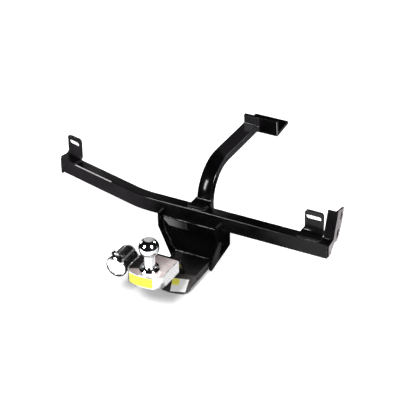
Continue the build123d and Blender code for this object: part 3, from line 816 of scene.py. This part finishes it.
def carrier_beads():
    """Round the web, and where the side plates meet the tube and the rear plate."""
    front = BAR_FRONT - 0.4
    low = BAR_LOW - 0.8
    foot_half, foot_y = 48, 215.4
    web_edge = [(75.0, 200.0, -43.6), (75.3, 205.0, -79.5), (54.0, 215.2, -145.5)]
    bead([(-WEB_HALF - 0.5, front, low), (WEB_HALF + 0.5, front, low)], 2.7, 1)
    bead([(-foot_half, foot_y, TONGUE_TOP + 0.6), (foot_half, foot_y, TONGUE_TOP + 0.6)], 2.8, 2)
    for side in (-1, 1):
        middle = side * (SIDE_PLATE - SHEET / 2)
        inner = side * (SIDE_PLATE - SHEET - 0.1)
        under = side * (SIDE_PLATE - SHEET - 0.3)
        rear = ARM_FRONT + 0.1
        bead([(side * x, y, z) for x, y, z in web_edge], 2.5, 3 + side)
        bead([(middle, front, SIDE_PLATE_TOP - 1), (middle, front, BAR_LOW + 0.4)], 2.0, 6 + side)
        bead([(inner, rear, REAR_PLATE_TOP - 2), (inner, rear, REAR_PLATE_LOW + 1)], 2.2, 9 + side)
        bead([(under, BAR_FRONT + 3, low), (under, BAR_BACK + 7, low)], 2.2, 12 + side)


def arm_beads():
    """Round the arm's foot plate, up the arm's sides and round its rear end."""
    left, right = ARM_X - FOOT_HALF, ARM_X + FOOT_HALF
    front, corner, back = FOOT_FRONT - 0.2, FOOT_FRONT + 2.4, 228
    outline = [(left, back), (left, corner), (left + 3, front),
               (right - 3, front), (right, corner), (right, back)]
    bead([(x, y, BAR_TOP) for x, y in outline], 2.2, 20)
    foot_top = BAR_TOP + SHEET - 0.2
    bead([(-7, ARM_FRONT - 0.3, foot_top), (36, ARM_FRONT - 0.3, foot_top)], 2.4, 21)
    for side in (-1, 1):
        edge = ARM_X + side * (ARM_HALF + 0.7)
        bead([(edge, ARM_FRONT + 0.1, -78.0), (edge, ARM_FRONT + 0.1, -30.0)], 2.6, 22 + side)
    end, high = ARM_END + 0.2, ARM_HIGH_SIDE - 0.4
    bead([(-4.5, end, high), (33.8, end, high)], 2.4, 25)
    bead([(34.0, end + 0.2, ARM_HIGH_SIDE - 1.5), (34.0, end + 1.6, ARM_LOW_SIDE + 2.5)], 2.2, 26)


def wing_beads():
    """Beside the left bracket's foot and down the left end plate."""
    bracket = WING_BRACKET_RIGHT + 0.4
    bead([wing(bracket, 24, BAR_TOP), wing(bracket, -0.5, BAR_TOP)], 2.4, 28)
    tube_depth = BAR_BACK - BAR_FRONT
    for seed, back in ((29, -0.3), (30, tube_depth + 0.3)):
        bead([wing(-0.2, back, BAR_TOP - 2.6), wing(-0.2, back, BAR_LOW + 0.9)], 1.8, seed)


def right_end_beads():
    """Round the tab's foot, and where the end bracket meets the tab, the tube's top and its end."""
    left = TAB_LEFT - 0.2
    front = TAB_FRONT - 0.4
    gap = TAB_RIGHT + 0.4
    gap_rise = BAR_TOP + 0.6
    back = BAR_BACK - 4
    web_low = BAR_TOP + 0.4
    end = BAR_FRONT - 0.1
    bead([(left, back, BAR_TOP), (left, TAB_FRONT, BAR_TOP)], 2.4, 31)
    bead([(TAB_LEFT + 0.8, front, BAR_TOP), (TAB_RIGHT - 1.2, front, BAR_TOP)], 1.9, 32)
    bead([(gap, TAB_FRONT + 0.5, gap_rise), (gap, back, gap_rise)], 3.0, 33)
    bead([(TAB_RIGHT + 2.3, back, web_low), (BAR_RIGHT - 1.3, back, web_low)], 3.2, 34)
    bead([(BAR_RIGHT, end, BAR_TOP - 4.6), (BAR_RIGHT, end, BAR_LOW + 7.4)], 2.2, 35)


def tongue_beads():
    """Across the end of the ball plate's neck, and where the side plates meet the tongue."""
    bead([(-31, NECK_END + 0.6, TONGUE_TOP), (16, NECK_END + 0.6, TONGUE_TOP)], 2.6, 36)
    for side in (-1, 1):
        top = (side * (TONGUE_HALF + 2), 206.0, TONGUE_TOP - 1.4)
        low = (side * (TONGUE_HALF + 3), 208.0, TONGUE_TOP - 24.4)
        bead([top, low], 4.6, 38 + side)


carrier_beads()
arm_beads()
wing_beads()
right_end_beads()
tongue_beads()


# Blank labels: thin films, one round the front of the band and two on the tongue's nose
FILM_FACE = 0.05            # outer face above the metal
FILM_BACK = 0.01            # inner face above the metal
STRIP_BASE = FILM_FACE + 0.02
FILM_EDGE = 0.01 * MM
BAND_CENTRE_Y = BAND_FRONT + BAND_RADIUS
BAND_LABEL_LEFT = -43.0
BAND_LABEL_RIGHT = 21.0
BAND_LABEL_TOP = -69.0
BAND_LABEL_LOW = -95.0
BAND_LABEL_CORNER = 2.5
BAND_ROWS = 12
BAND_COLUMNS = 32
NOSE_STEPS = 8
NOSE_LABEL = [(3.7, 87.1), (42.0, 94.5), (36.6, 124.8), (-5.6, 118.5)]
NOSE_STRIP = [(-0.9, 103.0), (17.4, 106.0), (13.6, 120.6), (-5.0, 117.6)]


def film_piece(name, sheet, base, finish):
    """A closed thin film: sheet gives its rows of points at a height above the metal."""
    outer, inner = sheet(base + FILM_FACE), sheet(base + FILM_BACK)
    form = bmesh.new()
    layers = [[[form.verts.new(Vector(p) * MM) for p in row] for row in layer] for layer in (outer, inner)]
    rows, columns = len(outer), len(outer[0])
    for layer, flip in zip(layers, (False, True)):
        for r in range(rows - 1):
            for c in range(columns - 1):
                quad = [layer[r][c], layer[r][c + 1], layer[r + 1][c + 1], layer[r + 1][c]]
                form.faces.new(quad[::-1] if flip else quad)
    rim = [(0, c) for c in range(columns)]
    rim += [(r, columns - 1) for r in range(1, rows)]
    rim += [(rows - 1, c) for c in range(columns - 2, -1, -1)]
    rim += [(r, 0) for r in range(rows - 2, 0, -1)]
    for (r, c), (s, d) in zip(rim, rim[1:] + rim[:1]):
        form.faces.new((layers[0][r][c], layers[1][r][c], layers[1][s][d], layers[0][s][d]))
    piece = new_piece(name, smooth_mesh(name, form), finish, "hitch")
    bevel(piece, FILM_EDGE, 1)


def band_sheet(lift):
    """Points at a height in front of the band's front arc, with rounded corners."""
    height = BAND_LABEL_TOP - BAND_LABEL_LOW
    radius = BAND_RADIUS + lift
    corner = BAND_LABEL_CORNER
    rows = []
    for r in range(BAND_ROWS + 1):
        rise = r / BAND_ROWS
        edge = min(rise, 1 - rise) * height
        pull = corner - math.sqrt(max(0, corner ** 2 - max(0, corner - edge) ** 2))
        width = BAND_LABEL_RIGHT - BAND_LABEL_LEFT - 2 * pull
        row = []
        for c in range(BAND_COLUMNS + 1):
            x = BAND_LABEL_LEFT + pull + width * c / BAND_COLUMNS
            y = BAND_CENTRE_Y - math.sqrt(radius ** 2 - (x - BAND_X) ** 2)
            row.append((x, y, BAND_LABEL_LOW + height * rise))
        rows.append(row)
    return rows


def between(first, second, part):
    return first * (1 - part) + second * part


def nose_sheet(corners, lift):
    """Points at a height above the nose's slope, between four corners given as (x, y)."""
    fall = 1 / math.hypot(1, NOSE_SLOPE)
    rows = []
    for r in range(NOSE_STEPS + 1):
        up = r / NOSE_STEPS
        row = []
        for c in range(NOSE_STEPS + 1):
            across = c / NOSE_STEPS
            x, y = (between(between(low_left, low_right, across), between(top_left, top_right, across), up)
                    for low_left, low_right, top_right, top_left in zip(*corners))
            z = TONGUE_TOP - (TONGUE_FOLD - y) * NOSE_SLOPE
            row.append((x, y - lift * NOSE_SLOPE * fall, z + lift * fall))
        rows.append(row)
    return rows


film_piece("blank_label_band", band_sheet, 0.0, yellow_film)
film_piece("blank_label_nose", partial(nose_sheet, NOSE_LABEL), 0.0, white_film)
film_piece("blank_label_nose_strip", partial(nose_sheet, NOSE_STRIP), STRIP_BASE, strip_film)


# Raised ring on the lid and ribs round the socket
RING_STEPS = 96
RIB_PLACES = (6.0, 12.0, 18.0, 24.0, 30.0, 36.0)
RING_PROFILE = [(18.5, -13.9), (18.9, -14.5), (19.6, -14.9), (20.6, -14.9), (21.3, -14.5), (21.7, -13.9)]
RIB_PROFILE = [(-0.2, -1.1), (0.5, -0.7), (0.7, 0), (0.5, 0.7), (-0.2, 1.1)]


def ring_piece(name, profile, body, slot):
    """A ring round the socket's axis: profile is (radius, y) pairs in order."""
    stations = []
    for n in range(RING_STEPS):
        turn = 2 * math.pi * n / RING_STEPS
        across, up = math.cos(turn), math.sin(turn)
        stations.append([Vector((SOCKET_X + radius * across, y, SOCKET_Z + radius * up)) * MM
                         for radius, y in profile])
    new_piece(name, tube(name, stations, closed=True), slot_finishes[slot], body)


ring_piece("lid_raised_ring", RING_PROFILE, "lid", "chrome")
for count, place in enumerate(RIB_PLACES, start=1):
    rib = [(SOCKET_RADIUS + proud, place + along) for proud, along in RIB_PROFILE]
    ring_piece(f"socket_rib_{count}", rib, "hitch", "black_plastic")


# Floor: white, with a glow for what is seen of it that is weaker in the shadow under the ball
FLOOR_Z = cad_box[0].z - 0.0004
FLOOR_HALF = 7.0
WHITE = (1.0, 1.0, 1.0)
GLOW_NEAR = 0.02
GLOW_FAR = 0.55
GLOW_MIDDLE = (-0.02, 0.05, FLOOR_Z)
GLOW_REACH = (0.08, 0.22)


def floor_material():
    material = bpy.data.materials.new("pale_floor")
    shades = Nodes(material, clear=True)
    matte = shades.add("ShaderNodeBsdfDiffuse")
    shades.feed(matte.inputs["Color"], WHITE)
    geometry = shades.add("ShaderNodeNewGeometry").outputs
    away = shades.add("ShaderNodeVectorMath")
    away.operation = "DISTANCE"
    away.inputs[1].default_value = GLOW_MIDDLE
    shades.feed(away.inputs[0], geometry["Position"])
    level = shades.spread(away.outputs["Value"], GLOW_NEAR, GLOW_FAR, *GLOW_REACH)
    level.node.interpolation_type = "SMOOTHSTEP"
    glow = shades.add("ShaderNodeEmission")
    shades.feed(glow.inputs["Color"], WHITE)
    shades.feed(glow.inputs["Strength"], shades.product(shades.seen_rays(), level))
    both = shades.add("ShaderNodeAddShader")
    shades.feed(both.inputs[0], matte.outputs["BSDF"])
    shades.feed(both.inputs[1], glow.outputs["Emission"])
    clear = shades.add("ShaderNodeBsdfTransparent").outputs["BSDF"]
    one_sided = shades.mixed_shader(geometry["Backfacing"], both.outputs["Shader"], clear)
    shades.feed(shades.add("ShaderNodeOutputMaterial").inputs["Surface"], one_sided)
    return material


def make_floor():
    form = bmesh.new()
    corners = ((-1, -1), (1, -1), (1, 1), (-1, 1))
    form.faces.new([form.verts.new((x * FLOOR_HALF, y * FLOOR_HALF, FLOOR_Z)) for x, y in corners])
    mesh = bpy.data.meshes.new("floor")
    form.to_mesh(mesh)
    form.free()
    mesh.materials.append(floor_material())
    floor = bpy.data.objects.new("floor", mesh)
    scene.collection.objects.link(floor)


# Dark hood: a studio round the part that only its gloss shows. It leaves the white floor open
# near the ball. Each zone that glows is a list of limits: the axis, where the zone is 0 and
# where it is 1.
HOOD_RADIUS = 3.4
HOOD_FOOT = FLOOR_Z + 0.001
HOOD_TOP = math.radians(89)
HOOD_TURNS = 72
HOOD_ROWS = 12
OPEN_MIDDLE = (-0.12, -0.33)
OPEN_HALF = (0.56, 0.26)
HOOD_GLOW = 0.006
WALL_GLOW = 0.48
LEFT_WALL_SHARE = 0.42
ON_BACK_WALL = (("Y", 0.9, 1.3), ("Z", 0.0, 0.15), ("Z", 2.3, 1.9))
WALL_LEFT = (*ON_BACK_WALL, ("X", -1.38, -1.52))
WALL_RIGHT = (*ON_BACK_WALL, ("X", -0.85, -0.65), ("X", 0.6, 0.3))
ON_FLOOR = ("Z", -0.10, -0.15)
FLOOR_ZONES = (
    (ON_FLOOR, ("X", 0.05, 0.12), ("X", 0.20, 0.17), ("Y", 0.07, 0.10), ("Y", 0.27, 0.23)),
    (ON_FLOOR, ("X", 0.15, 0.18), ("X", 0.32, 0.28), ("Y", -0.14, -0.10), ("Y", 0.14, 0.11)),
    (ON_FLOOR, ("X", 0.08, 0.11), ("X", 0.32, 0.28), ("Y", -0.14, -0.10), ("Y", -0.01, -0.04)),
    (ON_FLOOR, ("X", 0.25, 0.30), ("X", 0.85, 0.70), ("Y", -0.65, -0.55), ("Y", 0.55, 0.42)),
)


def hood_material():
    material = bpy.data.materials.new("dark_hood")
    shades = Nodes(material, clear=True)
    place = shades.split(shades.add("ShaderNodeNewGeometry").outputs["Position"])

    def zone(limits):
        """1 inside all the limits."""
        inside = [shades.growing(place[axis], zero_at, one_at) for axis, zero_at, one_at in limits]
        return shades.product(*inside)

    walls = shades.larger(shades.product(zone(WALL_LEFT), LEFT_WALL_SHARE), zone(WALL_RIGHT))
    floors = shades.larger(*(zone(limits) for limits in FLOOR_ZONES))
    level = shades.larger(shades.product(walls, WALL_GLOW), floors)
    glow = shades.add("ShaderNodeEmission")
    shades.feed(glow.inputs["Strength"], shades.math("ADD", level, HOOD_GLOW))
    shades.feed(shades.add("ShaderNodeOutputMaterial").inputs["Surface"], glow.outputs["Emission"])
    return material


def make_dark_hood():
    form = bmesh.new()
    turns = [2 * math.pi * n / HOOD_TURNS for n in range(HOOD_TURNS)]
    rim = [[math.copysign(math.sqrt(abs(value)), value) for value in (math.cos(turn), math.sin(turn))]
           for turn in turns]
    (middle_x, middle_y), (half_x, half_y) = OPEN_MIDDLE, OPEN_HALF
    rows = [[form.verts.new((middle_x + half_x * x, middle_y + half_y * y, HOOD_FOOT)) for x, y in rim]]
    first_rise = math.asin(HOOD_FOOT / HOOD_RADIUS)
    for r in range(HOOD_ROWS + 1):
        rise = first_rise + (HOOD_TOP - first_rise) * r / HOOD_ROWS
        width = HOOD_RADIUS * math.cos(rise)
        height = HOOD_RADIUS * math.sin(rise)
        rows.append([form.verts.new((width * math.cos(turn), width * math.sin(turn), height))
                     for turn in turns])
    for first, second in zip(rows, rows[1:]):
        for n in range(HOOD_TURNS):
            m = (n + 1) % HOOD_TURNS
            form.faces.new((first[n], second[n], second[m], first[m]))
    form.faces.new(rows[-1])
    mesh = bpy.data.meshes.new("dark_hood")
    form.to_mesh(mesh)
    form.free()
    mesh.materials.append(hood_material())
    hood = bpy.data.objects.new("dark_hood", mesh)
    scene.collection.objects.link(hood)
    hood.visible_camera = False
    hood.visible_diffuse = False
    hood.visible_transmission = False
    hood.visible_volume_scatter = False
    hood.visible_shadow = False


# World: white where it is seen, and weaker as a light on the part
WORLD_SEEN = 1.0
WORLD_FILL = 0.52


def make_world():
    world = bpy.data.worlds.new("white_studio")
    scene.world = world
    shades = Nodes(world, clear=True)
    levels = []
    for strength in (WORLD_FILL, WORLD_SEEN):
        background = shades.add("ShaderNodeBackground")
        shades.feed(background.inputs["Color"], WHITE)
        shades.feed(background.inputs["Strength"], strength)
        levels.append(background.outputs["Background"])
    chosen = shades.mixed_shader(shades.seen_rays(), *levels)
    shades.feed(shades.add("ShaderNodeOutputWorld").inputs["Surface"], chosen)


# Lamps: each stands in a direction from the ball and faces it
LAMP_DISTANCE = 2.4


def lamp(name, direction, distance, size, watts, in_gloss, in_matte):
    data = bpy.data.lights.new(name, "AREA")
    data.shape = "RECTANGLE"
    data.size, data.size_y = size
    data.energy = watts
    light = bpy.data.objects.new(name, data)
    away = Vector(direction).normalized()
    turn = away.to_track_quat("Z", "Y").to_matrix().to_4x4()
    light.matrix_world = Matrix.Translation(away * distance) @ turn
    light.visible_glossy = in_gloss
    light.visible_diffuse = in_matte
    light.visible_camera = False
    scene.collection.objects.link(light)


def gloss_lamp(name, direction, distance, size, radiance):
    """A window seen in the gloss alone. Its radiance is against a white of 1."""
    lamp(name, direction, distance, size, radiance * math.pi * size[0] * size[1], True, False)


def matte_lamp(name, direction, distance, size, level):
    """A soft light for the colours alone: level is what a white face turned to it would show."""
    lamp(name, direction, distance, size, level * math.pi * math.pi * distance ** 2, False, True)


make_floor()
make_dark_hood()
make_world()
gloss_lamp("window_left", (-0.455, -0.766, 0.455), 2.09, (0.5, 1.0), 35)
gloss_lamp("window_right", (0.80, -0.31, 0.51), 2.3, (0.5, 1.0), 120)
gloss_lamp("window_far_left", (-0.95, 0.27, 0.13), LAMP_DISTANCE, (0.5, 0.6), 10)
gloss_lamp("window_back", (0.42, 0.73, 0.53), LAMP_DISTANCE, (0.5, 0.7), 8)
gloss_lamp("window_back_left", (-0.62, 0.75, 0.20), LAMP_DISTANCE, (0.35, 0.3), 22)
matte_lamp("front_high", (0.06, -0.67, 0.74), LAMP_DISTANCE, (0.6, 0.6), 0.95)
matte_lamp("front_left", (-0.5, -0.7, 0.5), LAMP_DISTANCE, (1.2, 1.2), 0.16)
matte_lamp("front_right", (0.7, -0.5, 0.5), LAMP_DISTANCE, (1.2, 1.2), 0.30)

bpy.context.view_layer.update()
